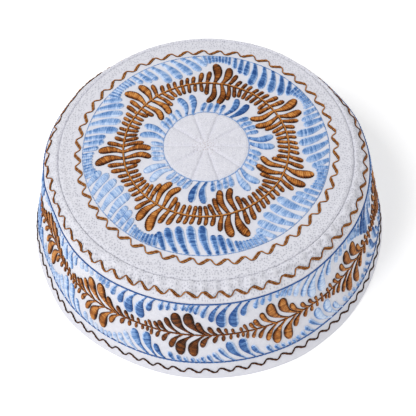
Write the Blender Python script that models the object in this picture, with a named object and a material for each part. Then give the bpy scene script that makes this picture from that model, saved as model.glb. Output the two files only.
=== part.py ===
"""Round embroidered prayer cap: a domed crown panel seamed to a flared side band.

The cap stands on its hem. +Z is up, the origin is the centre of the hem's foot, and the
front of the cap faces -Y. Sizes are in millimetres until a mesh is made.
"""

import math

import bmesh
import bpy
from mathutils import Vector
from mathutils.geometry import interpolate_bezier

MM = 0.001

# Driving dimensions
HEM_RADIUS = 94.0         # outside of the hem, for a head of about 57 cm
CAP_HEIGHT = 66.8         # from the foot of the hem to the middle of the crown
CROWN_FALL = 4.0          # how far the domed crown drops from its middle to the seam
SEAM_RADIUS = 72.2        # where the crown panel is sewn to the side band
SHOULDER_RADIUS = 80.2    # where the rounded shoulder has turned into the wall
SHOULDER_HEIGHT = 55.0
SHOULDER_LEAN = 0.09      # outward run of the wall for each mm down, at the shoulder
HEM_FLARE = 0.41          # the same at the hem
SHOULDER_FULLNESS = 0.35  # 0 gives a flat chamfer, 1 a square corner
CLOTH = 2.4               # two layers of cotton with cord and thread between them
HEM_FOLD_HEIGHT = 12.0    # the cloth turned up inside the hem
HEM_FOLD_CLOTH = 0.8      # what the turned-up cloth adds to the wall
SEAM_GAP = 0.3            # between the two panels along the surface

# How the soft cap departs from a true round
CROWN_SHIFT = Vector((-1.7, -0.3, 0.0))   # the crown's place off the hem's centre
OVAL = 0.008                              # share of the radius gained and lost
OVAL_DIRECTION = math.radians(33.0)       # azimuth of the long way across

# Fineness of the facets
ROUND_STEPS = 72
CROWN_STEPS = 7
SHOULDER_STEPS = 6
WALL_STEPS = 7
MERGE_DISTANCE = 0.01               # joins the middle of the turned crown
SHARP_ANGLE = math.radians(50.0)    # edges of the cut cloth stay crisp

CLOTH_COLOR = (0.78, 0.79, 0.83, 1.0)
CLOTH_ROUGHNESS = 0.9


def profile_point(radius, height):
    """A point of the profile, drawn in the XZ plane."""
    return Vector((radius, 0.0, height))


def crown_line():
    """The outside of the crown panel, from its middle out to the seam."""
    middle = profile_point(0.0, CAP_HEIGHT)
    edge = profile_point(SEAM_RADIUS, CAP_HEIGHT - CROWN_FALL)
    third = SEAM_RADIUS / 3.0
    rise = CROWN_FALL * 2.0 / 3.0
    return interpolate_bezier(
        middle,
        middle + profile_point(third, 0.0),
        edge + profile_point(-third, rise),
        edge,
        CROWN_STEPS,
    )


def shoulder_line():
    """The outside of the side band from the seam down over the shoulder."""
    top = profile_point(SEAM_RADIUS, CAP_HEIGHT - CROWN_FALL)
    bottom = profile_point(SHOULDER_RADIUS, SHOULDER_HEIGHT)
    crown_slope = 2.0 * CROWN_FALL / SEAM_RADIUS
    drop = top.z - bottom.z - crown_slope * (bottom.x - top.x)
    up = drop / (1.0 - crown_slope * SHOULDER_LEAN)
    corner = bottom + profile_point(-SHOULDER_LEAN * up, up)
    return interpolate_bezier(
        top,
        top.lerp(corner, SHOULDER_FULLNESS),
        bottom.lerp(corner, SHOULDER_FULLNESS),
        bottom,
        SHOULDER_STEPS,
    )


def wall_line():
    """The outside of the side band from the shoulder down to the foot of the hem."""
    top = profile_point(SHOULDER_RADIUS, SHOULDER_HEIGHT)
    foot = profile_point(HEM_RADIUS, 0.0)
    third = SHOULDER_HEIGHT / 3.0
    return interpolate_bezier(
        top,
        top + profile_point(SHOULDER_LEAN * third, -third),
        foot + profile_point(-HEM_FLARE * third, third),
        foot,
        WALL_STEPS,
    )


def wall_thickness(height):
    """The cloth's thickness at a height, more where the hem is turned up inside."""
    if height < HEM_FOLD_HEIGHT:
        return CLOTH + HEM_FOLD_CLOTH
    return CLOTH


def inner_line(outer):
    """The inside of the cloth below an outer line that runs outwards and down."""
    inner = []
    for index, point in enumerate(outer):
        before = outer[max(index - 1, 0)]
        after = outer[min(index + 1, len(outer) - 1)]
        along = (after - before).normalized()
        inward = Vector((along.z, 0.0, -along.x))
        inner.append(point + inward * wall_thickness(point.z))
    inner[0].x = 0.0
    inner[-1] = profile_point(HEM_RADIUS - wall_thickness(0.0), 0.0)
    return inner


def with_hem_fold(wall):
    """The wall line with two more points, above and below the turned-up cloth's edge."""
    for index, (upper, lower) in enumerate(zip(wall, wall[1:])):
        if lower.z < HEM_FOLD_HEIGHT <= upper.z:
            share = (upper.z - HEM_FOLD_HEIGHT) / (upper.z - lower.z)
            edge = upper.lerp(lower, share)
            step = (lower - upper).normalized() * (HEM_FOLD_CLOTH / 2.0)
            return wall[: index + 1] + [edge - step, edge + step] + wall[index + 1 :]
    return wall


def panel_profiles():
    """The sections of the crown panel and of the side band, parted at the seam."""
    crown = crown_line()
    outer = crown[:-1] + shoulder_line() + with_hem_fold(wall_line())[1:]
    inner = inner_line(outer)
    seam = len(crown) - 1
    half_gap = (outer[seam + 1] - outer[seam - 1]).normalized() * (SEAM_GAP / 2.0)
    crown_outer = outer[:seam] + [outer[seam] - half_gap]
    crown_inner = inner[:seam] + [inner[seam] - half_gap]
    band_outer = [outer[seam] + half_gap] + outer[seam + 1 :]
    band_inner = [inner[seam] + half_gap] + inner[seam + 1 :]
    return crown_outer + crown_inner[::-1], band_outer + band_inner[::-1]


def soften(point):
    """A point of the round cap, moved to where the soft cap has it."""
    around = math.atan2(point.y, point.x)
    stretch = 1.0 + OVAL * math.cos(2.0 * (around - OVAL_DIRECTION))
    level = point.z / CAP_HEIGHT
    return Vector((point.x * stretch, point.y * stretch, point.z)) + CROWN_SHIFT * level


def turn_profile(name, profile, closed):
    """A closed body made by turning a section once round the Z axis."""
    shape = bmesh.new()
    corners = [shape.verts.new(point) for point in profile]
    edges = [shape.edges.new(pair) for pair in zip(corners, corners[1:])]
    if closed:
        edges.append(shape.edges.new((corners[-1], corners[0])))
    bmesh.ops.spin(
        shape,
        geom=corners + edges,
        cent=(0.0, 0.0, 0.0),
        axis=(0.0, 0.0, 1.0),
        angle=math.tau,
        steps=ROUND_STEPS,
        use_merge=True,
    )
    bmesh.ops.remove_doubles(shape, verts=shape.verts, dist=MERGE_DISTANCE)
    for vert in shape.verts:
        vert.co = soften(vert.co) * MM
    bmesh.ops.recalc_face_normals(shape, faces=shape.faces)
    mesh = bpy.data.meshes.new(name)
    shape.to_mesh(mesh)
    shape.free()
    mesh.shade_smooth()
    mesh.set_sharp_from_angle(angle=SHARP_ANGLE)
    return mesh


def cloth_material(name):
    """White cotton, matt and a little cool."""
    material = bpy.data.materials.new(name)
    material.use_nodes = True
    shader = material.node_tree.nodes["Principled BSDF"]
    shader.inputs["Base Color"].default_value = CLOTH_COLOR
    shader.inputs["Roughness"].default_value = CLOTH_ROUGHNESS
    shader.inputs["Metallic"].default_value = 0.0
    return material


def add_panel(collection, name, profile, closed):
    """One panel of the cap as an object with its own cloth."""
    mesh = turn_profile(name, profile, closed)
    mesh.materials.append(cloth_material(name + "_cotton"))
    panel = bpy.data.objects.new(name, mesh)
    collection.objects.link(panel)
    return panel


def clear_scene():
    """Remove whatever the open file holds."""
    for old in list(bpy.data.objects):
        bpy.data.objects.remove(old, do_unlink=True)


def build():
    """Make the cap's two panels in a collection of their own."""
    clear_scene()
    collection = bpy.data.collections.new("prayer_cap")
    bpy.context.scene.collection.children.link(collection)
    crown, band = panel_profiles()
    add_panel(collection, "crown_panel", crown, closed=False)
    add_panel(collection, "side_band", band, closed=True)


build()
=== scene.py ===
"""Looks of a round embroidered prayer cap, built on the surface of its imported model.

The cap is first drawn on a flat map of its cloth: the distance from the axis is the arc, the
millimetres of cloth from the middle of the crown down to a place, the angle is its azimuth, and
the height is its lift off the cloth. Each vertex is then carried to its place on the cap, so the
stitches follow the cloth wherever it rises or dips. Azimuths are in degrees counter-clockwise
from +X seen from above, and the front of the cap is at 270.
"""

import logging
import math
from collections.abc import Iterator
from dataclasses import dataclass
from enum import Enum
from functools import cached_property

import bmesh
import bpy
from bmesh.types import BMesh, BMLayerItem, BMVert
from bpy.types import Material, Node, NodeSocket, NodeTree, Object
from mathutils import Matrix, Vector, noise
from mathutils.geometry import interpolate_bezier


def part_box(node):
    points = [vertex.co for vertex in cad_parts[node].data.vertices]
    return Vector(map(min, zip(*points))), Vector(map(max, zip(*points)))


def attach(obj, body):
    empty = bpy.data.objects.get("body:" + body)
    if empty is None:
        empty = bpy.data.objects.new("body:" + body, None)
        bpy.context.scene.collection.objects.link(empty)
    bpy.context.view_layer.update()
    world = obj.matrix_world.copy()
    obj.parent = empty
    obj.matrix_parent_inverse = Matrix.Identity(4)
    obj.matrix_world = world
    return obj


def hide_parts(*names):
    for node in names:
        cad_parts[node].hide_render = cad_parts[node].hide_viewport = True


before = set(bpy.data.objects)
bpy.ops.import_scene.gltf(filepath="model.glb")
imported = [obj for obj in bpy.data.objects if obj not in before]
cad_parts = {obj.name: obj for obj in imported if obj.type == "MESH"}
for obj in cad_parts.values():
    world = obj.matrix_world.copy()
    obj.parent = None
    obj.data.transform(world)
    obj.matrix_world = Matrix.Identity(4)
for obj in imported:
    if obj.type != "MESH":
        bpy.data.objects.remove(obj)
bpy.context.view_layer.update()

MM = 0.001
BODY = "root"
PHOTO_WIDTH = 416.0      # pixels
BACK = 90.0              # azimuth of the middle of the back, where counted lengths begin
JOIN = 1e-6              # metres: vertices closer than this are one
SEAM_SIDE = 0.15         # millimetres of cloth from the seam to each panel's edge

log = logging.getLogger("prayer_cap")


class Winding(Enum):
    """Which way a pattern runs round the cap, seen from above."""

    CLOCKWISE = -1.0
    COUNTER_CLOCKWISE = 1.0


def smooth(share: float) -> float:
    """A share from 0 to 1 with soft ends."""
    share = min(1.0, max(0.0, share))
    return share * share * (3.0 - 2.0 * share)


def bell(distance: float, reach: float) -> float:
    """1 at no distance, falling softly away over the reach."""
    return math.exp(-((distance / reach) ** 2))


def mix(start: float, end: float, share: float) -> float:
    """The value a share of the way from start to end."""
    return start + (end - start) * share


def linear(code: str) -> tuple[float, float, float, float]:
    """Turns an sRGB hex colour into the linear colour that a shader takes.

    Args:
        code: The colour as #RRGGBB.

    Returns:
        Linear red, green and blue, and full alpha.
    """
    parts = [int(code[i : i + 2], 16) / 255.0 for i in (1, 3, 5)]
    red, green, blue = (c / 12.92 if c <= 0.04045 else ((c + 0.055) / 1.055) ** 2.4 for c in parts)
    return red, green, blue, 1.0


def add_node(
    tree: NodeTree, kind: str, settings: dict, links: dict, out: str | int = 0
) -> NodeSocket:
    """Adds a node with its settings and its incoming links.

    Args:
        tree: The node tree it goes into.
        kind: The node's type, such as ShaderNodeMath.
        settings: Values by the name of a property, or by the name or number of an input.
        links: Output sockets by the name or number of the input that each one feeds.
        out: The name or number of the output that is wanted.

    Returns:
        That output of the new node.
    """
    node = tree.nodes.new(kind)
    for name, value in settings.items():
        if isinstance(name, str) and hasattr(node, name):
            setattr(node, name, value)
        else:
            node.inputs[name].default_value = value
    for name, source in links.items():
        tree.links.new(source, node.inputs[name])
    return node.outputs[out]


@dataclass(frozen=True)
class Round:
    """A value that changes softly round the cap, as azimuths in rising order and values."""

    marks: tuple[tuple[float, float], ...]

    @cached_property
    def table(self) -> list[float]:
        """The value all round the cap.

        Returns:
            The value at each degree from 0 to 360.
        """
        (first_angle, first), (last_angle, last) = self.marks[0], self.marks[-1]
        marks = [(last_angle - 360.0, last), *self.marks, (first_angle + 360.0, first)]
        table = []
        for degree in range(361):
            at = next(i for i, mark in enumerate(marks[1:]) if degree <= mark[0])
            (low_angle, low), (high_angle, high) = marks[at], marks[at + 1]
            table.append(mix(low, high, smooth((degree - low_angle) / (high_angle - low_angle))))
        return table

    def at(self, azimuth: float) -> float:
        """The value at an azimuth, between those of two whole degrees.

        Args:
            azimuth: Degrees counter-clockwise from +X, of any turn.

        Returns:
            The value there.
        """
        azimuth %= 360.0
        degree = min(int(azimuth), 359)
        return mix(self.table[degree], self.table[degree + 1], azimuth - degree)


@dataclass(frozen=True)
class CapForm:
    """The outside of the cap as a turned line. Sizes in millimetres, as in the part's source.

    The height and the hem's radius come from the frame.
    """

    height: float
    hem_radius: float
    crown_fall: float = 4.0
    seam_radius: float = 72.2
    shoulder_radius: float = 80.2
    shoulder_height: float = 55.0
    shoulder_lean: float = 0.09
    shoulder_fullness: float = 0.35
    hem_flare: float = 0.41
    cloth: float = 2.4
    hem_cloth: float = 3.2
    hem_fold: float = 12.0
    crown_shift: tuple[float, float] = (-1.7, -0.3)
    oval: float = 0.008
    oval_direction: float = 33.0
    samples: int = 120
    step: float = 0.25

    def drawn_line(self) -> list[Vector]:
        """Draws the outside from the middle of the crown to the foot.

        Returns:
            The line's points, in the XZ plane.
        """
        middle = Vector((0.0, 0.0, self.height))
        seam = Vector((self.seam_radius, 0.0, self.height - self.crown_fall))
        shoulder = Vector((self.shoulder_radius, 0.0, self.shoulder_height))
        foot = Vector((self.hem_radius, 0.0, 0.0))
        reach = self.seam_radius / 3.0
        crown_pull = Vector((-reach, 0.0, self.crown_fall * 2.0 / 3.0))
        slope = 2.0 * self.crown_fall / self.seam_radius
        drop = seam.z - shoulder.z - slope * (shoulder.x - seam.x)
        rise = drop / (1.0 - slope * self.shoulder_lean)
        corner = shoulder + Vector((-self.shoulder_lean * rise, 0.0, rise))
        full = self.shoulder_fullness
        third = self.shoulder_height / 3.0
        wall_pull = Vector((self.shoulder_lean * third, 0.0, -third))
        hem_pull = Vector((-self.hem_flare * third, 0.0, third))
        line = [middle]
        for curve in (
            (middle, middle + Vector((reach, 0.0, 0.0)), seam + crown_pull, seam),
            (seam, seam.lerp(corner, full), shoulder.lerp(corner, full), shoulder),
            (shoulder, shoulder + wall_pull, foot + hem_pull, foot),
        ):
            line += interpolate_bezier(*curve, self.samples)[1:]
        return line

    @cached_property
    def rows(self) -> list[tuple[float, float, float, float]]:
        """The outside at even steps of arc.

        Returns:
            The radius, height and two parts of the outward normal of each place.
        """
        line = self.drawn_line()
        rows = []
        walked = 0.0
        for before, after in zip(line, line[1:]):
            length = (after - before).length
            along = (after - before) / length
            while len(rows) * self.step <= walked + length:
                spot = before + along * (len(rows) * self.step - walked)
                rows.append((spot.x, spot.z, -along.z, along.x))
            walked += length
        rows.append((line[-1].x, line[-1].z, rows[-1][2], rows[-1][3]))
        return rows

    @cached_property
    def foot_arc(self) -> float:
        """The arc at the foot of the hem."""
        line = self.drawn_line()
        return sum((after - before).length for before, after in zip(line, line[1:]))

    def section(self, arc: float) -> tuple[float, float, float, float]:
        """The outside at an arc.

        Args:
            arc: Millimetres of cloth from the middle of the crown.

        Returns:
            The radius, the height and the two parts of the outward normal.
        """
        rows = self.rows
        place = min(max(arc, 0.0) / self.step, len(rows) - 1.001)
        index = int(place)
        share = place - index
        ends = zip(rows[index], rows[index + 1])
        return tuple(mix(before, after, share) for before, after in ends)

    def per_degree(self, arc: float) -> float:
        """Millimetres along the cloth for a degree of azimuth."""
        return math.radians(max(self.section(arc)[0], 1.0))

    def soften(self, point: Vector) -> Vector:
        """Moves a point of the round cap to where the soft cap has it.

        Args:
            point: The point, in millimetres.

        Returns:
            Its new place.
        """
        around = math.atan2(point.y, point.x)
        wide = math.radians(self.oval_direction)
        stretch = 1.0 + self.oval * math.cos(2.0 * (around - wide))
        level = point.z / self.height
        shift_x, shift_y = self.crown_shift
        return Vector(
            (point.x * stretch + shift_x * level, point.y * stretch + shift_y * level, point.z)
        )


@dataclass(frozen=True)
class ClothSurface:
    """The cap's cloth with its soft ups and downs. Sizes in millimetres."""

    form: CapForm
    disc_arc: float = 20.6
    disc_rise: float = 0.5
    disc_edge: float = 1.6
    disc_seams: int = 10
    disc_seam_depth: float = 0.85
    disc_seam_reach: float = 0.8
    disc_seam_start: float = 6.0
    disc_pucker: float = 0.2
    pucker_size: float = 2.2
    seam_arc: float = 72.35
    seam_depth: float = 0.9
    seam_front_share: float = 0.12
    seam_reach: float = 0.7
    seam_roll: float = 0.35
    roll_place: float = 1.9
    roll_reaches: tuple[float, float] = (1.3, 1.5)
    ring_arcs: tuple[float, float] = (65.5, 84.35)
    front: float = 268.0
    gather_count: int = 78
    gather_depth: float = 0.8
    gather_swing: float = 9.0
    gather_arc: float = 76.0
    gather_reach: float = 4.0
    crumple: float = 1.6
    crumple_size: float = 4.0
    sway: float = 0.25
    sway_size: float = 26.0
    slump_arcs: tuple[float, float, float] = (72.5, 79.0, 100.0)
    wall_arcs: tuple[float, float] = (76.0, 141.0)
    splay_arcs: tuple[float, float] = (131.0, 140.0)

    # Millimetres by which the shoulder slumps, the middle of the wall bulges and the hem splays
    slump: Round = Round(
        ((0, 0.2), (15, 0.8), (35, 2.2), (60, 2.2), (90, 2.0), (125, 1.7), (150, 0.7), (180, 0.4),
         (203, 0.9), (225, 0.0), (300, 0.2), (320, 0.8), (345, 0.4))
    )
    bulge: Round = Round(
        ((15, 1.8), (45, 0.6), (90, 0.0), (150, 0.2), (180, 1.0), (190, 0.5), (198, -1.6),
         (205, -2.3), (213, -1.1), (222, 0.1), (232, 0.2), (245, -0.3), (270, -0.1), (290, 0.1),
         (305, 0.5), (320, 0.8), (335, 1.3), (350, 1.4))
    )
    splay: Round = Round(
        ((0, 0.4), (190, -0.3), (205, -0.4), (222, 0.5), (245, -0.2), (270, 0.3), (290, 0.7),
         (300, 0.9), (312, 0.7), (330, 0.1), (345, 0.0))
    )

    def relief(self, azimuth: float, arc: float) -> float:
        """How far the outer cloth stands off the turned form.

        Args:
            azimuth: Degrees counter-clockwise from +X.
            arc: Millimetres of cloth from the middle of the crown.

        Returns:
            Millimetres, below 0 where the cloth lies deeper.
        """
        turn = math.radians(azimuth)
        radius = self.form.section(arc)[0]
        around = Vector((math.cos(turn) * radius, math.sin(turn) * radius, arc))
        height = self.sway * noise.noise(around / self.sway_size)
        if arc < self.disc_arc + 2.0:
            height += self.disc_rise * smooth((self.disc_arc + 0.4 - arc) / self.disc_edge)
            ray = 360.0 / self.disc_seams
            off = abs((azimuth + ray / 2.0) % ray - ray / 2.0) * self.form.per_degree(arc)
            dip = bell(off, self.disc_seam_reach) * smooth(arc / self.disc_seam_start)
            height -= self.disc_seam_depth * dip
        if arc < self.disc_arc:
            height += self.disc_pucker * noise.noise(around / self.pucker_size)
        if self.ring_arcs[0] < arc < self.ring_arcs[1]:
            beyond = arc - self.seam_arc
            front = 0.5 + 0.5 * math.cos(math.radians(azimuth - self.front))
            dip = mix(1.0, self.seam_front_share, front**2) * bell(beyond, self.seam_reach)
            height -= self.seam_depth * dip
            inner, outer = self.roll_reaches
            roll = bell(beyond + self.roll_place, inner) + bell(beyond - self.roll_place, outer)
            height += self.seam_roll * roll
            fold = noise.noise(Vector((math.cos(turn) * 4.0, math.sin(turn) * 4.0, 7.1)))
            wave = math.sin(turn * self.gather_count + fold * self.gather_swing)
            near = front * bell(arc - self.gather_arc, self.gather_reach)
            height += self.gather_depth * wave * near
            height += self.crumple * noise.noise(around / self.crumple_size) * near
        if arc > self.slump_arcs[0]:
            start, full, end = self.slump_arcs
            share = smooth((arc - start) / (full - start)) * smooth((end - arc) / (end - full))
            height -= self.slump.at(azimuth) * share
        if arc > self.wall_arcs[0]:
            top, foot = self.wall_arcs
            height += self.bulge.at(azimuth) * math.sin(math.pi * (arc - top) / (foot - top))
        return height

    def place(self, azimuth: float, arc: float, lift: float) -> Vector:
        """Carries a place on the map to the cap.

        Args:
            azimuth: Degrees counter-clockwise from +X.
            arc: Millimetres of cloth from the middle of the crown.
            lift: Millimetres off the outer cloth, and below 0 inside it.

        Returns:
            The point in metres, in the cap's frame.
        """
        radius, height, across, up = self.form.section(arc)
        outer = min(1.0, max(0.0, 1.0 + lift / self.form.cloth))
        off = lift + (self.relief(azimuth, arc) * outer if outer > 0.0 else 0.0)
        turn = math.radians(azimuth)
        start, full = self.splay_arcs
        splay = self.splay.at(azimuth) * smooth((arc - start) / (full - start))
        reach = radius + across * off + splay
        point = Vector((math.cos(turn) * reach, math.sin(turn) * reach, height + up * off))
        return self.form.soften(point) * MM


@dataclass(frozen=True)
class Finish:
    """A finish of the cap, which becomes a Blender material once."""

    name: str

    def values(self) -> dict:
        """What is the same all over, by the name of the shader's own socket."""
        return {}

    def pattern(self, tree: NodeTree, shader: Node) -> None:
        """Adds the nodes for what varies over the surface."""

    def material(self) -> Material:
        """Makes the finish's material where it isn't there yet.

        Returns:
            The material.
        """
        found = bpy.data.materials.get(self.name)
        if found:
            return found
        made = bpy.data.materials.new(self.name)
        made.use_nodes = True
        shader = made.node_tree.nodes["Principled BSDF"]
        for socket, value in self.values().items():
            shader.inputs[socket].default_value = value
        self.pattern(made.node_tree, shader)
        return made


@dataclass(frozen=True)
class Cotton(Finish):
    """Plain-woven bleached cotton, matt, cool white, with a fine crossed grain.

    The weave of the real cloth is about 0.35 mm, finer than the render shows, so it is drawn
    at 0.7 mm. Eyelets are the needle's pinholes in the quilted ring and disc. They lie about
    0.6 mm apart and are drawn twice as far apart. Their grey is painted shade in the holes,
    which towards the middle of the disc takes a pinkish tint of the cloth there.
    """

    colour: str = "#DFDFE7"
    # Bluish grey that the cloth's colour drifts towards in soft random patches
    mottle_grey: str = "#B9BAC8"
    # Painted shade in the pinholes
    hole_shade: str = "#90919F"
    weave: float = 0.7
    eyelet_pitch: float = 1.25
    eyelet_strength: float = 0.6
    eyelet_zone: tuple[float, float] = (65.6, 79.2)
    disc_reach: float = 20.2
    # Painted hole shade with the cloth's pinkish tint, towards the middle of the disc
    middle_hole_shade_and_tint: str = "#AE8E8C"
    middle_reach: float = 9.0
    centre: tuple[float, float] = (-1.7, -0.3)
    roughness: float = 0.86
    sheen: float = 0.25
    sheen_roughness: float = 0.6

    def values(self) -> dict:
        """The cotton's roughness and its soft bloom.

        Returns:
            Values by the name of the shader's socket.
        """
        return {
            "Roughness": self.roughness,
            "Sheen Weight": self.sheen,
            "Sheen Roughness": self.sheen_roughness,
        }

    def pattern(self, tree: NodeTree, shader: Node) -> None:
        """Adds the mottled colour, the weave's grain and the pinholes, whose grey is painted shade.

        Args:
            tree: The material's node tree.
            shader: The node that takes them.
        """
        place = add_node(tree, "ShaderNodeTexCoord", {}, {}, "Object")
        in_mm = {"Scale": (1000.0, 1000.0, 1000.0)}
        mm = add_node(tree, "ShaderNodeMapping", in_mm, {"Vector": place})
        clouds = {"Scale": 0.35, "Detail": 3.0}
        mottle = add_node(tree, "ShaderNodeTexNoise", clouds, {"Vector": mm}, "Fac")
        fine = {"Scale": 1.0 / self.weave, "Detail": 2.0}
        grain = add_node(tree, "ShaderNodeTexNoise", fine, {"Vector": mm}, "Fac")
        # The cloth's colour drifts in soft random patches towards a bluish grey.
        mottle_range = {"From Min": 0.35, "From Max": 0.75, "To Min": 0.0, "To Max": 0.22}
        mottle_share = add_node(tree, "ShaderNodeMapRange", mottle_range, {"Value": mottle})
        cloth = {"data_type": "RGBA", 6: linear(self.colour), 7: linear(self.mottle_grey)}
        colour = add_node(tree, "ShaderNodeMix", cloth, {0: mottle_share}, 2)
        open_holes = {
            "From Min": 0.35, "From Max": 0.6, "To Min": 0.3, "To Max": self.eyelet_strength
        }
        patchy = add_node(tree, "ShaderNodeMapRange", open_holes, {"Value": mottle})
        holes, hole_shade_colour = self.eyelets(tree, mm)
        holes = add_node(tree, "ShaderNodeMath", {"operation": "MULTIPLY"}, {0: holes, 1: patchy})
        # The pinholes are painted with their shade.
        over = {0: holes, 6: colour, 7: hole_shade_colour}
        colour = add_node(tree, "ShaderNodeMix", {"data_type": "RGBA"}, over, 2)
        height = add_node(tree, "ShaderNodeMath", {"operation": "SUBTRACT"}, {0: grain, 1: holes})
        relief = {"Strength": 0.7, "Distance": 0.0004}
        bump = add_node(tree, "ShaderNodeBump", relief, {"Height": height})
        tree.links.new(colour, shader.inputs["Base Color"])
        tree.links.new(bump, shader.inputs["Normal"])

    def eyelets(self, tree: NodeTree, mm: NodeSocket) -> tuple[NodeSocket, NodeSocket]:
        """The pinholes of the white ring and the middle disc.

        Args:
            tree: The material's node tree.
            mm: Object coordinates, in millimetres.

        Returns:
            The sockets that give a mask, 1 in the holes, and their colour: painted shade, with the
            cloth's pinkish tint towards the middle.
        """
        centred = {"Scale": (1.0, 1.0, 0.0), "Location": (-self.centre[0], -self.centre[1], 0.0)}
        flat = add_node(tree, "ShaderNodeMapping", centred, {"Vector": mm})
        length = {"operation": "LENGTH"}
        radius = add_node(tree, "ShaderNodeVectorMath", length, {0: flat}, "Value")
        scale = 1.0 / self.eyelet_pitch
        scattered = {"voronoi_dimensions": "2D", "Scale": scale, "Randomness": 0.8}
        away = add_node(tree, "ShaderNodeTexVoronoi", scattered, {"Vector": mm}, "Distance")
        round_holes = {"From Min": 0.34, "From Max": 0.12}
        hole_shade = add_node(tree, "ShaderNodeMapRange", round_holes, {"Value": away})
        low, high = self.eyelet_zone
        within = {"operation": "COMPARE", 1: (low + high) / 2.0, 2: (high - low) / 2.0}
        ring = add_node(tree, "ShaderNodeMath", within, {0: radius})
        inside = {"operation": "LESS_THAN", 1: self.disc_reach}
        disc = add_node(tree, "ShaderNodeMath", inside, {0: radius})
        inwards = {"From Min": self.middle_reach, "From Max": 2.0}
        middle = add_node(tree, "ShaderNodeMapRange", inwards, {"Value": radius})
        weaker = {"operation": "MULTIPLY_ADD", 1: 0.7, 2: 0.35}
        faint = add_node(tree, "ShaderNodeMath", weaker, {0: middle})
        disc = add_node(tree, "ShaderNodeMath", {"operation": "MULTIPLY"}, {0: disc, 1: faint})
        zone = add_node(tree, "ShaderNodeMath", {"operation": "MAXIMUM"}, {0: ring, 1: disc})
        # The holes' painted shade, taking the cloth's pinkish tint towards the middle.
        shades = {"data_type": "RGBA", 6: linear(self.hole_shade), 7: linear(self.middle_hole_shade_and_tint)}
        colour = add_node(tree, "ShaderNodeMix", shades, {0: middle}, 2)
        mask = add_node(tree, "ShaderNodeMath", {"operation": "MULTIPLY"}, {0: hole_shade, 1: zone})
        return mask, colour


@dataclass(frozen=True)
class Floss(Finish):
    """Rayon embroidery floss in satin stitch: close parallel threads with a soft gloss.

    Shades run from the thread's palest dye to its deepest. Real threads lie 0.3 mm apart,
    finer than the render shows, so they are drawn at the given pitch.
    """

    shades: tuple[tuple[float, str], ...]
    thread: float = 0.5
    roughness: float = 0.5
    gloss: float = 0.12
    unevenness: float = 0.4

    def values(self) -> dict:
        """The thread's roughness and gloss."""
        return {"Roughness": self.roughness, "Specular IOR Level": self.gloss}

    def pattern(self, tree: NodeTree, shader: Node) -> None:
        """Adds the dye, by each vertex's depth, which on leaves and cords also carries painted
        shade and highlight, and the threads' ridges.

        Args:
            tree: The material's node tree.
            shader: The node that takes them.
        """
        tone = add_node(tree, "ShaderNodeAttribute", {"attribute_name": "tone"}, {}, "Fac")
        stitch = add_node(tree, "ShaderNodeAttribute", {"attribute_name": "stitch"}, {}, "Vector")
        stretch = {"Scale": (1.0 / self.thread, 0.35 / self.thread, 1.0)}
        along_thread = add_node(tree, "ShaderNodeMapping", stretch, {"Vector": stitch})
        patches = {"Scale": 1.0, "Detail": 2.0}
        uneven = add_node(tree, "ShaderNodeTexNoise", patches, {"Vector": along_thread}, "Fac")
        centred = {"operation": "MULTIPLY_ADD", 1: 2.0 * self.unevenness, 2: -self.unevenness}
        shift = add_node(tree, "ShaderNodeMath", centred, {0: uneven})
        summed = {"operation": "ADD", "use_clamp": True}
        shade = add_node(tree, "ShaderNodeMath", summed, {0: tone, 1: shift})
        dye = add_node(tree, "ShaderNodeValToRGB", {}, {0: shade})
        stops = dye.node.color_ramp.elements
        for index, (spot, code) in enumerate(self.shades):
            stop = stops[index] if index < 2 else stops.new(spot)
            stop.position = spot
            stop.color = linear(code)
        strands = {"Scale": math.tau / 20.0 / self.thread, "Distortion": 0.6, "Detail": 1.0}
        threads = add_node(tree, "ShaderNodeTexWave", strands, {"Vector": stitch}, "Fac")
        relief = {"Strength": 0.5, "Distance": 0.00012}
        bump = add_node(tree, "ShaderNodeBump", relief, {"Height": threads})
        tree.links.new(dye, shader.inputs["Base Color"])
        tree.links.new(bump, shader.inputs["Normal"])


@dataclass(frozen=True)
class FloorPaint(Finish):
    """Smooth matt white studio floor, lit a little from below, with no grain of its own."""

    colour: str = "#FFFFFF"
    roughness: float = 0.9
    glow: float = 0.2

    def values(self) -> dict:
        """The paint's colour, roughness and glow.

        Returns:
            Values by the name of the shader's socket.
        """
        return {
            "Base Color": linear(self.colour),
            "Roughness": self.roughness,
            "Emission Color": linear(self.colour),
            "Emission Strength": self.glow,
        }


COTTON = Cotton("bleached_cotton")
BROWN_FLOSS = Floss(
    "brown_rayon_floss", ((0.0, "#E2A660"), (1.0, "#2A1408"), (0.3, "#BE7836"), (0.6, "#7E4418"))
)
BLUE_FLOSS = Floss(
    "blue_rayon_floss", ((0.0, "#DCE8FA"), (1.0, "#264E8C"), (0.28, "#B0C9EC"), (0.65, "#6690C8"))
)
WHITE_FLOSS = Floss("white_cotton_floss", ((0.0, "#EFEEF5"), (1.0, "#D5D3DF")), roughness=0.8)


def as_object(shape: BMesh, name: str) -> Object:
    """Turns a mesh in the making into an object and frees it.

    Args:
        shape: The mesh.
        name: The object's name.

    Returns:
        The object, in the scene.
    """
    mesh = bpy.data.meshes.new(name)
    shape.to_mesh(mesh)
    shape.free()
    made = bpy.data.objects.new(name, mesh)
    bpy.context.scene.collection.objects.link(made)
    return made


@dataclass
class CapPiece:
    """A piece of the cap: one mesh with one finish, riding on the cap's body."""

    surface: ClothSurface
    name: str
    finish: Finish

    def build(self) -> BMesh:
        """The piece's mesh, in metres in the cap's frame."""
        raise NotImplementedError

    def dress(self, piece: Object) -> None:
        """Gives the piece its finish."""
        piece.data.materials.append(self.finish.material())

    def make(self) -> Object:
        """Builds, dresses and seats the piece.

        Returns:
            The finished object, at the origin.
        """
        shape = self.build()
        bmesh.ops.recalc_face_normals(shape, faces=shape.faces)
        piece = as_object(shape, self.name)
        piece.data.shade_smooth()
        self.dress(piece)
        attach(piece, BODY)
        return piece


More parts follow.
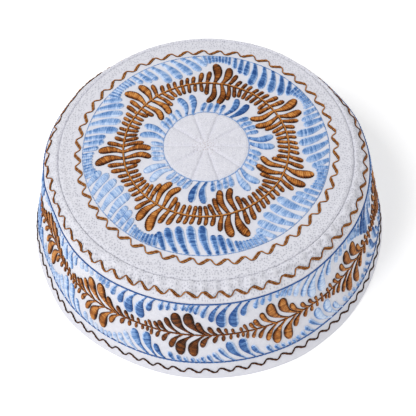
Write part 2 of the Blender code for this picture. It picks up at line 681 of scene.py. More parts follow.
def grid_round(shape: BMesh, steps: int, rows: int) -> list[tuple[BMVert, float, int]]:
    """Adds a grid that is to be wrapped once round the cap.

    Args:
        shape: The mesh that takes it.
        steps: The number of places round the cap.
        rows: The number of strips across.

    Returns:
        Each vertex with its azimuth and the number of its row.
    """
    made = bmesh.ops.create_grid(shape, x_segments=steps, y_segments=rows, size=0.5)
    places = []
    for vert in made["verts"]:
        column = round((vert.co.x + 0.5) * steps)
        places.append((vert, BACK + 360.0 * column / steps, round((vert.co.y + 0.5) * rows)))
    return places


def stitched() -> tuple[BMesh, BMLayerItem, BMLayerItem]:
    """Starts a mesh of stitches.

    Returns:
        The empty mesh, and its layers for the depth of dye, which on leaves and cords also
        carries painted shade and highlight, and for the place on the thread.
    """
    shape = bmesh.new()
    layers = shape.verts.layers
    return shape, layers.float.new("tone"), layers.float_vector.new("stitch")


def gather(shape: BMesh, patch: BMesh) -> None:
    """Adds a small patch of stitches to the whole piece and frees it.

    Args:
        shape: The whole piece.
        patch: The patch.
    """
    mesh = bpy.data.meshes.new("patch")
    patch.to_mesh(mesh)
    patch.free()
    shape.from_mesh(mesh)
    bpy.data.meshes.remove(mesh)


def even(start: float, end: float, step: float) -> list[float]:
    """Evenly spaced values from start up to, not including, end."""
    count = max(1, round((end - start) / step))
    return [mix(start, end, index / count) for index in range(count)]


@dataclass
class ClothPanel(CapPiece):
    """A panel of the cap's cotton: a wall with an outside, an inside and turned edges."""

    node: str
    slot: str
    zones: tuple[tuple[float, float, float], ...]
    steps: int = 360
    inside_step: float = 5.0
    lip: float = 0.1
    outer_turn: float = 0.5
    inner_turn: float = 0.4

    def edge(self) -> list[tuple[float, float]]:
        """The turned lower or outer edge.

        Returns:
            Arcs and lifts, from the outside in.
        """
        arc, depth = self.zones[-1][1], self.surface.form.cloth
        out = arc + self.lip
        return [(arc, 0.0), (out, -self.outer_turn), (out, -depth + self.inner_turn), (arc, -depth)]

    def start(self) -> list[tuple[float, float]]:
        """What closes the section at its beginning, from the inside out."""
        return [(0.0, -self.surface.form.cloth)]

    def section(self) -> list[tuple[float, float]]:
        """The panel's cut section.

        Returns:
            Arcs and lifts, once round it.
        """
        outside = [(arc, 0.0) for zone in self.zones for arc in even(*zone)]
        first, last = self.zones[0][0], self.zones[-1][1]
        inside = [(arc, self.inner_lift(arc)) for arc in even(last, first, self.inside_step)[1:]]
        closing = [outside[0]] if first > 0.0 else []
        return outside + self.edge() + inside + self.start() + closing

    def inner_lift(self, arc: float) -> float:
        """The lift of the cloth's inside at an arc."""
        return -self.surface.form.cloth

    def build(self) -> BMesh:
        """Carries the panel's section once round the cap.

        Returns:
            The mesh, in metres in the cap's frame.
        """
        shape = bmesh.new()
        section = self.section()
        for vert, azimuth, row in grid_round(shape, self.steps, len(section) - 1):
            vert.co = self.surface.place(azimuth, *section[row])
        bmesh.ops.remove_doubles(shape, verts=shape.verts, dist=JOIN)
        return shape

    def dress(self, piece: Object) -> None:
        """Gives the panel its cotton and stands it in for its solid.

        Args:
            piece: The panel's object.
        """
        super().dress(piece)
        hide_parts(self.node)


@dataclass
class BandPanel(ClothPanel):
    """The side band, whose cloth is turned up inside the hem."""

    hem_steps: int = 8
    hem_turn: float = 1.1

    def edge(self) -> list[tuple[float, float]]:
        """The soft round foot of the hem.

        Returns:
            Arcs and lifts, from the outside in.
        """
        form = self.surface.form
        half = form.hem_cloth / 2.0
        turned = []
        for index in range(self.hem_steps + 1):
            angle = math.pi * index / self.hem_steps
            lift = half * (math.cos(angle) - 1.0)
            back = self.hem_turn * (1.0 - math.sin(angle))
            turned.append((form.foot_arc + form.hem_flare * lift - back, lift))
        return turned

    def start(self) -> list[tuple[float, float]]:
        """The edge sewn to the crown.

        Returns:
            Arcs and lifts, from the inside out.
        """
        arc, depth = self.zones[0][0], self.surface.form.cloth
        back = arc - self.lip
        return [(arc, -depth), (back, -depth + self.inner_turn), (back, -self.outer_turn)]

    def inner_lift(self, arc: float) -> float:
        """The lift of the cloth's inside, which steps softly where the hem is turned up.

        Args:
            arc: Millimetres of cloth from the middle of the crown.

        Returns:
            Millimetres off the outer cloth.
        """
        form = self.surface.form
        height = form.section(arc)[1]
        return -mix(form.hem_cloth, form.cloth, smooth((height - form.hem_fold + 0.4) / 0.8))


@dataclass(frozen=True)
class Repeats:
    """Where a pattern's repeats begin, in the order in which it runs."""

    starts: tuple[float, ...]
    winding: Winding

    def azimuth(self, index: int, share: float) -> float:
        """The azimuth of a place in a repeat.

        Args:
            index: The repeat's number.
            share: How far through it, which may run into its neighbours.

        Returns:
            Degrees, running on past a full turn.
        """
        whole = index + math.floor(share)
        ends = []
        for number in (whole, whole + 1):
            turns, at = divmod(number, len(self.starts))
            ends.append(self.starts[at] + 360.0 * turns * self.winding.value)
        return mix(ends[0], ends[1], share - math.floor(share))


@dataclass(frozen=True)
class Leaf:
    """A satin-stitch leaf of a repeat.

    Root and tip are shares of the repeat, tip_arc, width and bow millimetres. The bow is how
    far its middle swings in the direction in which the pattern runs, and sway swings the half
    by the root that way and the half by the tip back.
    """

    root: float
    tip: float
    tip_arc: float
    width: float
    bow: float = 0.0
    sway: float = 0.0


def chart(*rows: tuple[float, ...]) -> tuple[Leaf, ...]:
    """The leaves of a repeat, each as root, tip, tip_arc, width, bow and sway."""
    return tuple(Leaf(*row) for row in rows)


@dataclass
class LeafBorder(CapPiece):
    """A row of satin-stitch leaves that spring from one arc, repeated round the cap.

    With a side tone above 0, leaves no wider than broad are deepest a little to one side of
    their middle and fade to that tone at their sides. The darker outlines and this one-sided
    tone are partly the floss's own shading and partly painted shade and painted sheen of the
    raised pad. Between two given azimuths the two sides swap tones, a painted sheen that
    follows how the light falls there. Every other ring of thread is painted darker, as shade
    in the groove between threads, and the rings between lighter, as a painted highlight on
    the crests. Sides is how many a narrow and a broad leaf's section has.
    """

    root_arc: float
    repeats: Repeats
    leaves: tuple[Leaf, ...]
    tones: Round
    rise: float = 1.05
    root_width: float = 1.5
    neck: float = 1.0
    roundness: float = 0.75
    # Tone at the two sides: partly the floss's own shading, partly painted shade and sheen
    edge_behind: float = 0.8
    edge_ahead: float = 0.95
    thread_tone: float = 0.18
    dye_scatter: float = 0.07
    ridge: float = 1.0
    crest: float = 0.8
    # Painted shade in the grooves between threads, and as much painted highlight on the crests
    groove_shade: float = 0.11
    side_tone: float = 0.0
    broad: float = 2.95
    sides: tuple[int, int] = (8, 14)
    # Azimuths between which the two sides swap tones: a painted sheen that follows the light
    sheen_swap_azimuths: tuple[float, float] = (0.0, 0.0)
    slant: float = 0.2
    sink: float = 0.3
    rim: float = 0.1
    waist: float = 0.95
    longest_tip: float = 0.45
    widest_root: float = 0.92
    least_rise: float = 0.45
    full_rise_width: float = 5.0
    deep_side: float = 0.25
    deepening: float = 0.3
    fade_rate: float = 1.15

    def build(self) -> BMesh:
        """Sews all the row's leaves.

        Returns:
            The mesh, in metres in the cap's frame.
        """
        shape = bmesh.new()
        for index in range(len(self.repeats.starts)):
            patch, tone, stitch = stitched()
            for leaf in self.leaves:
                for vert, dye, thread in self.sew(patch, leaf, index):
                    vert[tone] = dye
                    vert[stitch] = thread
            gather(shape, patch)
        return shape

    def chord(self, leaf: Leaf, index: int) -> tuple[float, float, Vector]:
        """The straight way from a leaf's root to its tip.

        Args:
            leaf: The leaf's chart.
            index: The number of its repeat.

        Returns:
            The azimuths of root and tip, and the way between them in millimetres.
        """
        start = self.repeats.azimuth(index, leaf.root)
        end = self.repeats.azimuth(index, leaf.tip)
        middle = self.surface.form.per_degree((self.root_arc + leaf.tip_arc) / 2.0)
        run = (end - start) * self.repeats.winding.value * middle
        return start, end, Vector((run, leaf.tip_arc - self.root_arc))

    def frames(self, leaf: Leaf, index: int, rings: int) -> list[tuple]:
        """Where the rings of a leaf lie.

        Args:
            leaf: The leaf's chart.
            index: The number of its repeat.
            rings: How many rings of thread it has.

        Returns:
            Each ring's azimuth and arc, and the directions along and across the leaf.
        """
        form, run = self.surface.form, self.repeats.winding.value
        start, end, along = self.chord(leaf, index)
        upright = math.copysign(1.0, along.y)
        side = Vector((along.y, -along.x)) * upright / along.length

        def spine(share: float) -> tuple[float, float]:
            """A place along the leaf's middle.

            Args:
                share: How far along it the place is.

            Returns:
                Its azimuth and arc.
            """
            off = leaf.bow * math.sin(math.pi * share) + leaf.sway * math.sin(math.tau * share)
            arc = mix(self.root_arc, leaf.tip_arc, share) + side.y * off
            return mix(start, end, share) + run * side.x * off / form.per_degree(arc), arc

        frames = []
        for ring in range(rings + 1):
            azimuth, arc = spine(ring / rings)
            ahead, ahead_arc = spine(ring / rings + 0.02)
            step = Vector(((ahead - azimuth) * run * form.per_degree(arc), ahead_arc - arc))
            step.normalize()
            frames.append((azimuth, arc, step, Vector((step.y, -step.x)) * upright))
        return frames

    def sew(
        self, shape: BMesh, leaf: Leaf, index: int
    ) -> Iterator[tuple[BMVert, float, Vector]]:
        """Sews one leaf as a closed pad of thread.

        Args:
            shape: The mesh that takes it.
            leaf: The leaf's chart.
            index: The number of its repeat.

        Yields:
            Each vertex with its depth of dye, painted shade and highlight added, and its place
            on the thread.
        """
        form, run = self.surface.form, self.repeats.winding.value
        start, _, along = self.chord(leaf, index)
        length = along.length
        rings = max(8, 2 * round(length / self.ridge))
        sides = self.sides[leaf.width > self.broad]
        made = bmesh.ops.create_uvsphere(shape, u_segments=sides, v_segments=rings, radius=1.0)
        frames = self.frames(leaf, index, rings)
        scatter = noise.cell_vector(Vector((start, leaf.tip_arc, self.root_arc))).x
        depth = self.tones.at(start) + self.dye_scatter * scatter
        cap = min(self.longest_tip, self.roundness * leaf.width / length)
        root = min(self.widest_root, self.root_width / leaf.width)
        top = self.rise * min(1.0, self.least_rise + leaf.width / self.full_rise_width)
        # Between these azimuths the pale and dark sides swap, a painted sheen that follows the
        # light.
        low, high = self.sheen_swap_azimuths
        ahead_side = -1.0 if low < start % 360.0 < high else 1.0
        for vert in made["verts"]:
            ring = round(math.acos(max(-1.0, min(1.0, vert.co.z))) / math.pi * rings)
            share = ring / rings
            azimuth, arc, step, out = frames[ring]
            around = math.atan2(vert.co.y, vert.co.x) if 0 < ring < rings else 0.0
            across, up = math.cos(around), math.sin(around)
            full = self.fullness(share, cap, root)
            # Lower rings are painted darker, as groove shade; higher rings lighter, as a crest
            # highlight.
            crest, waist, groove_shade = (
                (1.0, 1.0, -self.groove_shade) if ring % 2 else (self.crest, self.waist, self.groove_shade)
            )
            half = leaf.width / 2.0 * full * waist
            spot = out * (across * half) + step * (self.slant * across * half)
            lift = -self.sink
            if up >= -0.01:
                lift = self.rim + (top * math.sqrt(full) - self.rim) * up * crest
            turned = azimuth + run * spot.x / form.per_degree(arc)
            vert.co = self.surface.place(turned, arc + spot.y, lift)
            thread = noise.cell(Vector((start * 3.1, ring // 2, self.root_arc))) - 0.5
            # Darker outlines and a paler side: partly the floss's own shading, partly painted shade
            # and sheen.
            shift = self.shade_and_dye_shift(leaf, depth, across * ahead_side)
            dye = depth + shift + groove_shade + self.thread_tone * thread
            yield vert, dye, Vector((share * length, across * half, start))

    def shade_and_dye_shift(self, leaf: Leaf, depth: float, ahead: float) -> float:
        """How far the tone differs across a leaf: partly the floss's own shading, partly painted
        shade and painted sheen.

        Args:
            leaf: The leaf's chart.
            depth: The leaf's own depth of dye.
            ahead: How far towards its side ahead the place lies, from -1 to 1.

        Returns:
            The depth to add.
        """
        if self.side_tone and leaf.width <= self.broad:
            fade = smooth(self.fade_rate * abs(ahead - self.deep_side))
            return mix(self.deepening * depth, self.side_tone - depth, fade)
        behind = self.edge(self.edge_behind, depth, -ahead)
        return behind + self.edge(self.edge_ahead, depth, ahead)

    def edge(self, amount: float, depth: float, reach: float) -> float:
        """How far the tone differs towards one side of a leaf: partly the floss's own shading,
        partly painted shade and painted sheen.

        Args:
            amount: Above 0 for a dark outline, below 0 for a pale one on a deep leaf.
            depth: The leaf's own depth of dye, which leaves the other more room or less.
            reach: How far towards that side the place lies, up to 1.

        Returns:
            The depth to add.
        """
        room = 1.2 - depth if amount > 0.0 else 1.6 * depth - 0.65
        return amount * room * smooth((reach - 0.5) / 0.42)

    def fullness(self, share: float, cap: float, root: float) -> float:
        """The leaf's width at a place along it.

        Args:
            share: How far along the leaf the place is.
            cap: The share of its length that the rounded tip takes.
            root: The width at its root, as a share of its full width.

        Returns:
            The width as a share of its full width.
        """
        if share <= 0.0 or share >= 1.0:
            return 0.0
        if share > 1.0 - cap:
            return math.sqrt(1.0 - ((share - 1.0 + cap) / cap) ** 2)
        return mix(root, 1.0, smooth(share / (self.widest_root - cap)) ** self.neck)


@dataclass
class Cord(CapPiece):
    """A twisted cord couched on the cloth in a ring round the cap."""

    arc: float
    width: float
    tone: float
    rise: float = 0.55
    twist: float = 2.0
    ply: float = 0.16
    sides: int = 8
    step: float = 0.3
    wander: float = 0.15
    speckle: float = 0.1
    # How much each strand's sides are painted darker and its top lighter, as painted shade and
    # highlight
    outline: float = 0.5

    def drift(self, azimuth: float, waves: float) -> float:
        """A random value from -1 to 1 that changes smoothly round the cap."""
        turn = math.radians(azimuth)
        return noise.noise(Vector((math.cos(turn) * waves, math.sin(turn) * waves, self.arc)))

    def centre(self, azimuth: float) -> float:
        """The arc of the cord's middle at an azimuth."""
        return self.arc + self.wander * self.drift(azimuth, 6.0)

    def strands(self) -> tuple[float, ...]:
        """The side on which each strand lies, from -1 to 1."""
        return (0.0,)

    def half_width(self, azimuth: float) -> float:
        """Half the width of a strand at an azimuth."""
        return self.width / 2.0

    def spread(self, azimuth: float) -> float:
        """How far a strand lies from the middle at an azimuth."""
        return 0.0

    def depth(self, azimuth: float) -> float:
        """The depth of dye at an azimuth."""
        slow, fast = self.drift(azimuth, 20.0), self.drift(azimuth, 90.0)
        return self.tone + 0.12 * slow + self.speckle * fast

    def build(self) -> BMesh:
        """Lays the cord's strands on the cloth as closed rings.

        Returns:
            The mesh, in metres in the cap's frame.
        """
        shape, tone, stitch = stitched()
        degree = self.surface.form.per_degree(self.arc)
        steps = round(360.0 * degree / self.step)
        turns = round(360.0 * degree / self.twist)
        for strand in self.strands():
            for vert, azimuth, row in grid_round(shape, steps, self.sides):
                around = math.tau * row / self.sides
                twisted = math.radians(azimuth - BACK) * turns
                ply = 1.0 + self.ply * math.cos(2.0 * around - twisted)
                middle = self.centre(azimuth)
                run = Vector((0.05 * degree, self.centre(azimuth + 0.05) - middle)).normalized()
                off = strand * self.spread(azimuth)
                off += math.cos(around) * self.half_width(azimuth) * ply
                high = self.rise * (0.25 + 0.75 * math.sin(around)) * ply
                turned = azimuth - run.y * off / degree
                vert.co = self.surface.place(turned, middle + run.x * off, high)
                # Painted shade on the strand's sides and a painted highlight along its top
                vert[tone] = self.depth(azimuth) + self.outline * (abs(math.cos(around)) - 0.5)
                vert[stitch] = Vector((azimuth * degree + math.cos(around) * 0.4, around, strand))
        bmesh.ops.remove_doubles(shape, verts=shape.verts, dist=JOIN)
        return shape


@dataclass
class WavyCord(Cord):
    """A wavy border: broad on the stroke away from the crown, thin on the way back.

    Crests holds azimuths in rising order with the number of the wave whose crest, its point
    nearest the crown, is there. The last entry is the first one a full turn on.
    """

    crests: tuple[tuple[float, int], ...] = ((0.0, 0), (360.0, 49))
    swing: float = 1.35
    broad_share: float = 0.66
    gap: float = 0.36
    doubled: bool = True
    ring: Round | None = None

    def along(self, azimuth: float) -> float:
        """How far through its wave the border is, from its crest.

        Args:
            azimuth: Degrees counter-clockwise from +X.

        Returns:
            The share of the wave, from 0 to 1.
        """
        first = self.crests[0][0]
        azimuth = (azimuth - first) % 360.0 + first
        for (low_angle, low), (high_angle, high) in zip(self.crests, self.crests[1:]):
            if azimuth <= high_angle:
                return mix(low, high, (azimuth - low_angle) / (high_angle - low_angle)) % 1.0
        return 0.0

    def centre(self, azimuth: float) -> float:
        """The middle of the border.

        Args:
            azimuth: Degrees counter-clockwise from +X.

        Returns:
            Its arc in millimetres.
        """
        share = self.along(azimuth)
        middle = self.ring.at(azimuth) if self.ring else self.arc
        if share < self.broad_share:
            return middle - self.swing * math.cos(math.pi * share / self.broad_share)
        back = (share - self.broad_share) / (1.0 - self.broad_share)
        return middle + self.swing * math.cos(math.pi * back)

    def broadness(self, azimuth: float) -> float:
        """1 in the middle of the broad stroke, 0 on the thin one."""
        share = self.along(azimuth)
        return smooth(1.5 * math.sin(math.pi * min(1.0, share / self.broad_share)))

    def strands(self) -> tuple[float, ...]:
        """Two strands side by side, or one."""
        return (-1.0, 1.0) if self.doubled else (0.0,)

    def half_width(self, azimuth: float) -> float:
        """Half the width of a strand, a little more on the broad stroke."""
        return self.width / 2.0 * mix(0.7, 1.0, self.broadness(azimuth))

    def spread(self, azimuth: float) -> float:
        """The strands part on the broad stroke."""
        return self.gap * mix(0.15, 1.0, self.broadness(azimuth))


@dataclass
class Quilting(CapPiece):
    """Rows of small white stitches round the middle disc."""

    reach: float
    row_pitch: float = 0.95
    stitch: float = 0.8
    pitch: float = 1.3
    width: float = 0.4
    rise: float = 0.13
    scatter: float = 0.5

    def build(self) -> BMesh:
        """Sews each stitch as a small closed pad.

        Returns:
            The mesh, in metres in the cap's frame.
        """
        shape = bmesh.new()
        for row, arc in enumerate(even(self.row_pitch, self.reach, self.row_pitch)):
            gather(shape, self.row(row, arc))
        return shape

    def row(self, row: int, arc: float) -> BMesh:
        """A row of stitches.

        Args:
            row: Its number, from the middle outwards.
            arc: Where it lies.

        Returns:
            The row's own mesh.
        """
        shape, tone, stitch = stitched()
        degree = self.surface.form.per_degree(arc)
        count = max(5, round(360.0 * degree / self.pitch))
        for number in range(count):
            off = noise.cell_vector(Vector((row, number, 1.0))) * self.scatter
            azimuth = 360.0 * (number + 0.5 * (row % 2)) / count + off.x / degree
            made = bmesh.ops.create_uvsphere(shape, u_segments=6, v_segments=4, radius=1.0)
            for vert in made["verts"]:
                turned = azimuth + vert.co.z * self.stitch / 2.0 / degree
                across = arc + off.y + vert.co.x * self.width / 2.0
                spot = self.surface.place(turned, across, vert.co.y * self.rise)
                vert[tone] = 0.4 + 0.4 * noise.cell(Vector((row, number, 0.0)))
                vert[stitch] = Vector((number * 1.7, vert.co.x, row))
                vert.co = spot
        return shape


@dataclass
class Studio:
    """The plain floor and the soft lights."""

    floor_size: float = 6.0
    white: str = "#FFFFFF"
    sky_strength: float = 0.54

    # Each light's name, place and side in metres, and power in watts
    lights: tuple[tuple[str, tuple[float, float, float], float, float], ...] = (
        ("key_light", (-1.0, -0.65, 1.55), 0.7, 19.0),
        ("fill_light", (0.9, 0.4, 1.3), 1.2, 3.5),
    )

    def build(self) -> None:
        """Lays the floor and hangs the lights."""
        shape = bmesh.new()
        bmesh.ops.create_grid(shape, x_segments=1, y_segments=1, size=self.floor_size / 2.0)
        floor = as_object(shape, "studio_floor")
        floor.data.materials.append(FloorPaint("studio_white").material())
        for light in self.lights:
            self.hang(*light)
        world = bpy.data.worlds.new("studio")
        world.use_nodes = True
        sky = world.node_tree.nodes["Background"]
        sky.inputs["Color"].default_value = linear(self.white)
        sky.inputs["Strength"].default_value = self.sky_strength
        bpy.context.scene.world = world
        bpy.context.scene.view_settings.view_transform = "Standard"

    def hang(self, name: str, place: tuple[float, float, float], size: float, power: float) -> None:
        """Hangs a soft square light that faces the cap.

        Args:
            name: The light's name.
            place: Where it hangs, in metres.
            size: The length of its side, in metres.
            power: Its power, in watts.
        """
        data = bpy.data.lights.new(name, "AREA")
        data.size = size
        data.energy = power
        light = bpy.data.objects.new(name, data)
        light.location = place
        light.rotation_mode = "QUATERNION"
        light.rotation_quaternion = (-Vector(place)).to_track_quat("-Z", "Y")
        bpy.context.scene.collection.objects.link(light)


@dataclass
class PhotoCamera:
    """The photograph's camera, in front of the cap and looking steeply down at it."""

    pitch: float = 57.709
    roll: float = 0.353
    place: tuple[float, float, float] = (-0.6, -268.1, 433.8)
    focal: float = 932.9     # in the photograph's pixels
    sensor: float = 36.0

    def build(self) -> None:
        """Sets the camera up as the scene's."""
        data = bpy.data.cameras.new("camera")
        data.sensor_width = self.sensor
        data.lens = self.focal * self.sensor / PHOTO_WIDTH
        data.clip_start = 0.01
        camera = bpy.data.objects.new("camera", data)
        tilt = Matrix.Rotation(math.radians(90.0 - self.pitch), 4, "X")
        lean = Matrix.Rotation(math.radians(self.roll), 4, "Z")
        camera.matrix_world = Matrix.Translation(Vector(self.place) * MM) @ tilt @ lean
        bpy.context.scene.collection.objects.link(camera)
        bpy.context.scene.camera = camera


@dataclass
class Assembly:
    """A panel of the cap and the embroidery on it."""

    surface: ClothSurface

    def pieces(self) -> list[CapPiece]:
        """What it is made of, from the cloth up."""
        raise NotImplementedError

    def make(self) -> list[Object]:
        """Makes the pieces and gives their objects."""
        return [piece.make() for piece in self.pieces()]


@dataclass
class Crown(Assembly):
    """The crown panel and the embroidery on it. Arcs in millimetres."""

    disc_line: float = 20.9
    stem: float = 40.2
    border: float = 60.1
    zigzag: float = 63.3

    # Seven repeats, one for each pair of big leaves, from where the first of a pair is rooted
    repeats: Repeats = Repeats(
        (343.0, 291.3, 240.1, 190.2, 139.9, 84.5, 33.5),
        Winding.CLOCKWISE,
    )

    vine_inward: tuple[Leaf, ...] = chart(
        (0.0, -0.1, 27.4, 3.5, 2.3, -0.35), (0.104, 0.118, 26.7, 3.7, 1.9, -0.2),
        (0.208, 0.275, 30.3, 2.5, 0.5), (0.292, 0.37, 33.3, 2.3), (0.39, 0.43, 34.3, 2.1),
        (0.487, 0.5, 34.3, 2.1), (0.578, 0.56, 34.5, 2.1), (0.662, 0.643, 34.5, 2.1),
        (0.747, 0.727, 34.8, 2.1), (0.825, 0.83, 34.3, 2.3), (0.916, 0.895, 32.3, 2.6),
    )
    vine_outward: tuple[Leaf, ...] = chart(
        (0.0, -0.025, 54.0, 4.9, 1.9), (0.104, 0.138, 52.3, 4.4, 1.6),
        (0.201, 0.256, 48.5, 2.7, 0.5), (0.305, 0.344, 45.4, 2.5), (0.403, 0.42, 45.0, 2.1),
        (0.481, 0.5, 44.7, 2.1), (0.565, 0.597, 44.8, 2.1), (0.643, 0.669, 45.2, 2.1),
        (0.721, 0.747, 45.5, 2.3), (0.805, 0.844, 47.7, 2.8, 0.3), (0.903, 0.932, 48.5, 2.8, 0.3),
    )
    outer: tuple[Leaf, ...] = chart(
        (-0.135, -0.105, 53.3, 2.6), (-0.09, -0.07, 54.3, 2.1), (-0.053, -0.038, 55.0, 1.9),
        (-0.019, -0.008, 55.3, 1.8), (0.014, 0.024, 55.3, 1.8), (0.047, 0.056, 55.1, 1.8),
        (0.08, 0.09, 54.8, 1.8), (0.115, 0.127, 54.2, 2.0), (0.172, 0.195, 52.3, 2.9),
        (0.24, 0.272, 49.9, 3.3), (0.305, 0.342, 49.7, 3.5), (0.37, 0.45, 44.7, 4.5, 1.0),
        (0.47, 0.588, 45.2, 4.5, 0.7), (0.565, 0.718, 46.5, 4.4, 0.5),
        (0.662, 0.828, 48.7, 4.1, 0.4), (0.77, 0.892, 52.0, 3.4),
    )
    inner: tuple[Leaf, ...] = chart(
        (0.38, 0.425, 33.2, 3.7, 2.0), (0.55, 0.645, 33.2, 3.8, 1.4), (0.78, 0.875, 27.1, 2.8),
        (0.93, 1.005, 26.9, 2.8), (0.1, 0.13, 27.1, 2.8), (0.25, 0.27, 27.1, 2.6),
    )
    vine_tones: Round = Round(
        ((30, 0.38), (81, 0.68), (136, 0.36), (187, 0.5), (236, 0.36), (288, 0.56), (339, 0.42))
    )
    outer_tones: Round = Round(
        (
            (0, 0.68), (15, 0.7), (30, 0.6), (45, 0.95), (75, 0.95), (95, 0.6), (120, 0.58),
            (150, 0.65), (190, 0.65), (202, 0.4), (230, 0.4), (245, 0.92), (283, 0.92),
            (298, 0.52), (325, 0.52), (350, 0.62),
        )
    )
    inner_tones: Round = Round(
        (
            (5, 0.62), (30, 0.62), (53, 0.9), (80, 0.85), (109, 0.68), (163, 0.62), (190, 0.45),
            (215, 0.3), (240, 0.55), (263, 0.98), (290, 0.68), (315, 0.45), (340, 0.55),
        )
    )

    # The crests of the wavy border, numbered clockwise, and where its middle lies
    crests: tuple[tuple[float, int], ...] = (
        (-15.2, 49), (-0.2, 47), (65.5, 38), (120.0, 31), (180.8, 23), (242.8, 14), (301.0, 6),
        (344.8, 0),
    )
    zigzag_ring: Round = Round(
        ((0, 63.3), (70, 63.6), (87, 62.6), (100, 63.0), (118, 63.8), (150, 63.2), (200, 62.4),
         (262, 62.9), (290, 64.5), (305, 64.0), (325, 63.4))
    )

    def pieces(self) -> list[CapPiece]:
        """The crown's cloth, and its embroidery from the middle out.

        Returns:
            The pieces, not made yet.
        """
        surface, repeats, stem = self.surface, self.repeats, self.stem
        seam = surface.seam_arc - SEAM_SIDE
        disc = surface.disc_arc + 0.6
        brown = {"tones": self.vine_tones, "root_width": 1.8}
        return [
            ClothPanel(
                surface, "crown_cloth", COTTON, node="crown_panel", slot="crown_cotton",
                zones=((0.0, disc, 0.43), (disc, 60.0, 1.3), (60.0, seam, 0.45)),
            ),
            Quilting(surface, "disc_quilting", WHITE_FLOSS, reach=self.disc_line - 0.8),
            Cord(
                surface, "disc_line", BLUE_FLOSS, self.disc_line, 0.45, 0.5, rise=0.3, speckle=0.4
            ),
            LeafBorder(
                surface, "inner_leaves", BLUE_FLOSS, self.disc_line, repeats, self.inner,
                self.inner_tones, edge_behind=-1.0, edge_ahead=0.3, root_width=1.4, crest=0.9,
                groove_shade=0.04, side_tone=0.3,
            ),
            LeafBorder(
                surface, "crown_vine_inward", BROWN_FLOSS, stem, repeats, self.vine_inward, **brown
            ),
            LeafBorder(
                surface, "crown_vine_outward", BROWN_FLOSS, stem, repeats, self.vine_outward,
                **brown,
            ),
            Cord(surface, "crown_vine_stem", BROWN_FLOSS, stem, 1.0, 0.5, rise=0.8, outline=1.0),
            LeafBorder(
                surface, "outer_leaves", BLUE_FLOSS, self.border, repeats, self.outer,
                self.outer_tones, edge_behind=-1.0, edge_ahead=-0.6, root_width=2.1, crest=0.85,
                groove_shade=0.07, side_tone=0.32,
            ),
            Cord(
                surface, "crown_border_line", BLUE_FLOSS, self.border, 0.4, 0.55, rise=0.25,
                speckle=0.5,
            ),
            WavyCord(
                surface, "crown_zigzag", BROWN_FLOSS, self.zigzag, 0.74, 0.6, crests=self.crests,
                ring=self.zigzag_ring, swing=1.25, gap=0.4, outline=1.0,
            ),
        ]


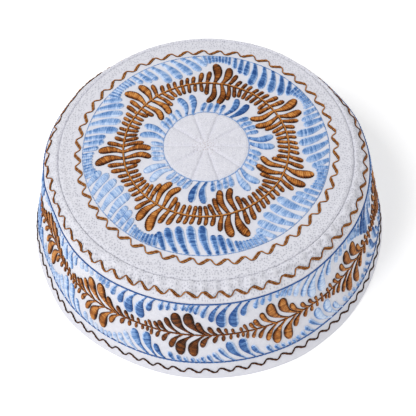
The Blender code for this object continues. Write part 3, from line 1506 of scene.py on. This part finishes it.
@dataclass
class Band(Assembly):
    """The side band and the embroidery on it. Arcs in millimetres."""

    zigzag: float = 79.0
    upper_line: float = 84.4
    stem: float = 108.9
    lower_line: float = 129.3
    hem_zigzag: float = 134.9

    # Eleven repeats: five that show and six spread evenly round the back
    repeats: Repeats = Repeats(
        (199.2, 228.7, 259.6, 291.1, 324.2, 354.5, 388.6, 422.7, 456.8, 490.9, 525.0),
        Winding.COUNTER_CLOCKWISE,
    )

    # The rows below the stem lag a little behind on the right
    lower_repeats: Repeats = Repeats(
        (199.2, 228.7, 259.6, 291.1, 322.0, 355.5, 388.6, 422.7, 456.8, 490.9, 525.0),
        Winding.COUNTER_CLOCKWISE,
    )

    vine_upper: tuple[Leaf, ...] = chart(
        (0.2, 0.005, 92.7, 5.2, -2.9), (0.32, 0.14, 92.0, 5.2, -2.9),
        (0.37, 0.235, 99.0, 3.0, -1.4), (0.44, 0.35, 102.5, 2.6, -0.8),
        (0.505, 0.442, 103.3, 2.2, -0.5), (0.543, 0.518, 104.3, 1.8), (0.61, 0.591, 105.0, 1.7),
        (0.695, 0.677, 105.0, 1.7), (0.756, 0.713, 103.3, 1.8), (0.85, 0.78, 103.0, 2.2, -0.5),
        (0.93, 0.83, 101.3, 2.8, -0.9), (1.06, 0.905, 97.7, 3.0, -1.6),
    )
    vine_lower: tuple[Leaf, ...] = chart(
        (0.2, 0.06, 124.4, 5.2, -2.7), (0.31, 0.195, 124.9, 5.2, -2.6),
        (0.385, 0.278, 118.0, 3.1, -1.2), (0.455, 0.402, 114.9, 2.5, -0.5),
        (0.506, 0.494, 113.9, 2.1), (0.579, 0.573, 113.2, 1.7), (0.652, 0.646, 112.6, 1.7),
        (0.707, 0.701, 112.6, 1.7), (0.756, 0.744, 114.3, 1.8), (0.85, 0.805, 114.9, 2.1, -0.3),
        (0.96, 0.875, 116.5, 2.6, -0.8), (1.09, 0.957, 120.0, 3.1, -1.4),
    )
    upper: tuple[Leaf, ...] = chart(
        (0.165, 0.125, 90.2, 2.0), (0.215, 0.165, 91.2, 2.3, -0.3), (0.27, 0.218, 92.2, 2.5, -0.3),
        (0.37, 0.29, 95.0, 2.9, -0.7), (0.49, 0.378, 98.4, 3.2, -1.2),
        (0.6, 0.488, 103.2, 5.0, -2.3), (0.71, 0.622, 103.9, 5.0, -2.1),
        (0.8, 0.713, 96.0, 3.1, -0.9), (0.885, 0.848, 92.6, 2.8, -0.3), (0.95, 0.921, 91.3, 2.5),
        (1.025, 1.006, 90.6, 2.3), (1.105, 1.085, 90.0, 2.2),
    )
    lower: tuple[Leaf, ...] = chart(
        (0.01, -0.06, 123.5, 2.7, -0.4), (0.075, 0.022, 125.1, 2.5), (0.14, 0.094, 125.6, 2.3),
        (0.205, 0.168, 126.0, 2.2), (0.262, 0.222, 126.2, 2.1), (0.315, 0.27, 125.3, 2.3),
        (0.395, 0.332, 123.8, 2.4, -0.3), (0.5, 0.386, 122.1, 2.6, -0.6),
        (0.61, 0.445, 119.0, 2.6, -0.7), (0.74, 0.549, 114.5, 4.7, -2.1),
        (0.82, 0.692, 113.5, 4.7, -1.9), (0.91, 0.79, 120.3, 3.0, -0.9),
    )
    vine_tones: Round = Round(
        ((10, 0.48), (60, 0.62), (120, 0.48), (199, 0.36), (231, 0.36), (250, 0.58), (262, 0.84),
         (272, 0.78), (282, 0.55), (294, 0.4), (328, 0.42))
    )
    upper_tones: Round = Round(
        ((0, 0.8), (60, 0.4), (120, 0.75), (180, 0.5), (205, 0.22), (231, 0.25), (235, 0.6),
         (241, 0.85), (262, 0.9), (281, 0.95), (289, 0.7), (299, 0.55), (304, 0.15), (316, 0.15),
         (322, 0.45), (331, 0.5), (338, 0.9))
    )
    lower_tones: Round = Round(
        ((0, 0.8), (60, 0.4), (120, 0.75), (180, 0.5), (195, 0.45), (215, 0.2), (247, 0.28),
         (251, 0.65), (255, 0.85), (274, 0.98), (285, 0.95), (296, 0.85), (310, 0.8),
         (313, 0.22), (319, 0.22), (323, 0.5), (330, 0.6), (338, 0.95))
    )

    # The crests of both wavy borders, numbered counter-clockwise, and where the upper one lies
    crests: tuple[tuple[float, int], ...] = (
        (197.5, 0), (231.5, 6), (257.9, 11), (291.35, 17), (327.0, 23), (357.0, 28), (557.5, 63)
    )
    hem_crests: tuple[tuple[float, int], ...] = (
        (226.3, 0), (259.2, 7), (293.65, 14), (317.5, 19), (336.0, 23), (586.3, 75)
    )
    hem_ring: Round = Round(((0, 134.3), (180, 134.6), (270, 134.9), (305, 134.0)))
    zigzag_ring: Round = Round(
        ((150, 79.0), (184, 80.0), (195, 78.0), (220, 78.8), (235, 79.3), (255, 79.0),
         (295, 79.0), (315, 79.3))
    )

    def pieces(self) -> list[CapPiece]:
        """The band's cloth, and its embroidery from the top down.

        Returns:
            The pieces, not made yet.
        """
        surface, repeats, lower_repeats = self.surface, self.repeats, self.lower_repeats
        seam = surface.seam_arc + SEAM_SIDE
        foot = surface.form.foot_arc
        brown = {"tones": self.vine_tones, "root_width": 1.1, "neck": 1.8, "roundness": 0.9}
        blue = {
            "edge_behind": -0.9, "edge_ahead": 0.6, "root_width": 1.0, "neck": 1.5, "crest": 0.9,
            "groove_shade": 0.05, "side_tone": 0.3, "sheen_swap_azimuths": (264.0, 345.0),
        }
        return [
            BandPanel(
                surface, "band_cloth", COTTON, node="side_band", slot="band_cotton",
                zones=((seam, 83.0, 0.6), (83.0, 130.0, 1.6), (130.0, foot - 1.6, 0.9)),
                steps=432, inside_step=3.0,
            ),
            WavyCord(
                surface, "shoulder_zigzag", BROWN_FLOSS, self.zigzag, 0.74, 0.68,
                crests=self.crests, ring=self.zigzag_ring, swing=1.35, gap=0.38, outline=1.0,
            ),
            Cord(surface, "band_upper_line", BLUE_FLOSS, self.upper_line, 0.7, 0.9),
            LeafBorder(
                surface, "band_upper_leaves", BLUE_FLOSS, self.upper_line, repeats, self.upper,
                self.upper_tones, **blue,
            ),
            LeafBorder(
                surface, "band_vine_upper", BROWN_FLOSS, self.stem, repeats, self.vine_upper,
                **brown,
            ),
            LeafBorder(
                surface, "band_vine_lower", BROWN_FLOSS, self.stem, lower_repeats, self.vine_lower,
                **brown,
            ),
            Cord(surface, "band_vine_stem", BROWN_FLOSS, self.stem, 0.8, 0.65, rise=0.6),
            LeafBorder(
                surface, "band_lower_leaves", BLUE_FLOSS, self.lower_line, lower_repeats,
                self.lower, self.lower_tones, **blue,
            ),
            Cord(surface, "band_lower_line", BLUE_FLOSS, self.lower_line, 0.65, 0.9),
            WavyCord(
                surface, "hem_zigzag", BROWN_FLOSS, self.hem_zigzag, 1.1, 1.0,
                crests=self.hem_crests, ring=self.hem_ring, swing=1.2, doubled=False,
            ),
        ]


def main() -> None:
    """Builds the cap's classes in order and reports each piece."""
    logging.basicConfig(level=logging.INFO, format="%(name)s: %(message)s")
    PhotoCamera().build()
    Studio().build()
    low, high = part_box("side_band")
    hem_radius = (high.x - low.x + high.y - low.y) / 4.0 / MM
    form = CapForm(height=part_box("crown_panel")[1].z / MM, hem_radius=hem_radius)
    surface = ClothSurface(form)
    for assembly in (Crown(surface), Band(surface)):
        for piece in assembly.make():
            log.info("%s has %d faces", piece.name, len(piece.data.polygons))
    bpy.context.view_layer.update()


if __name__ == "__main__":
    main()
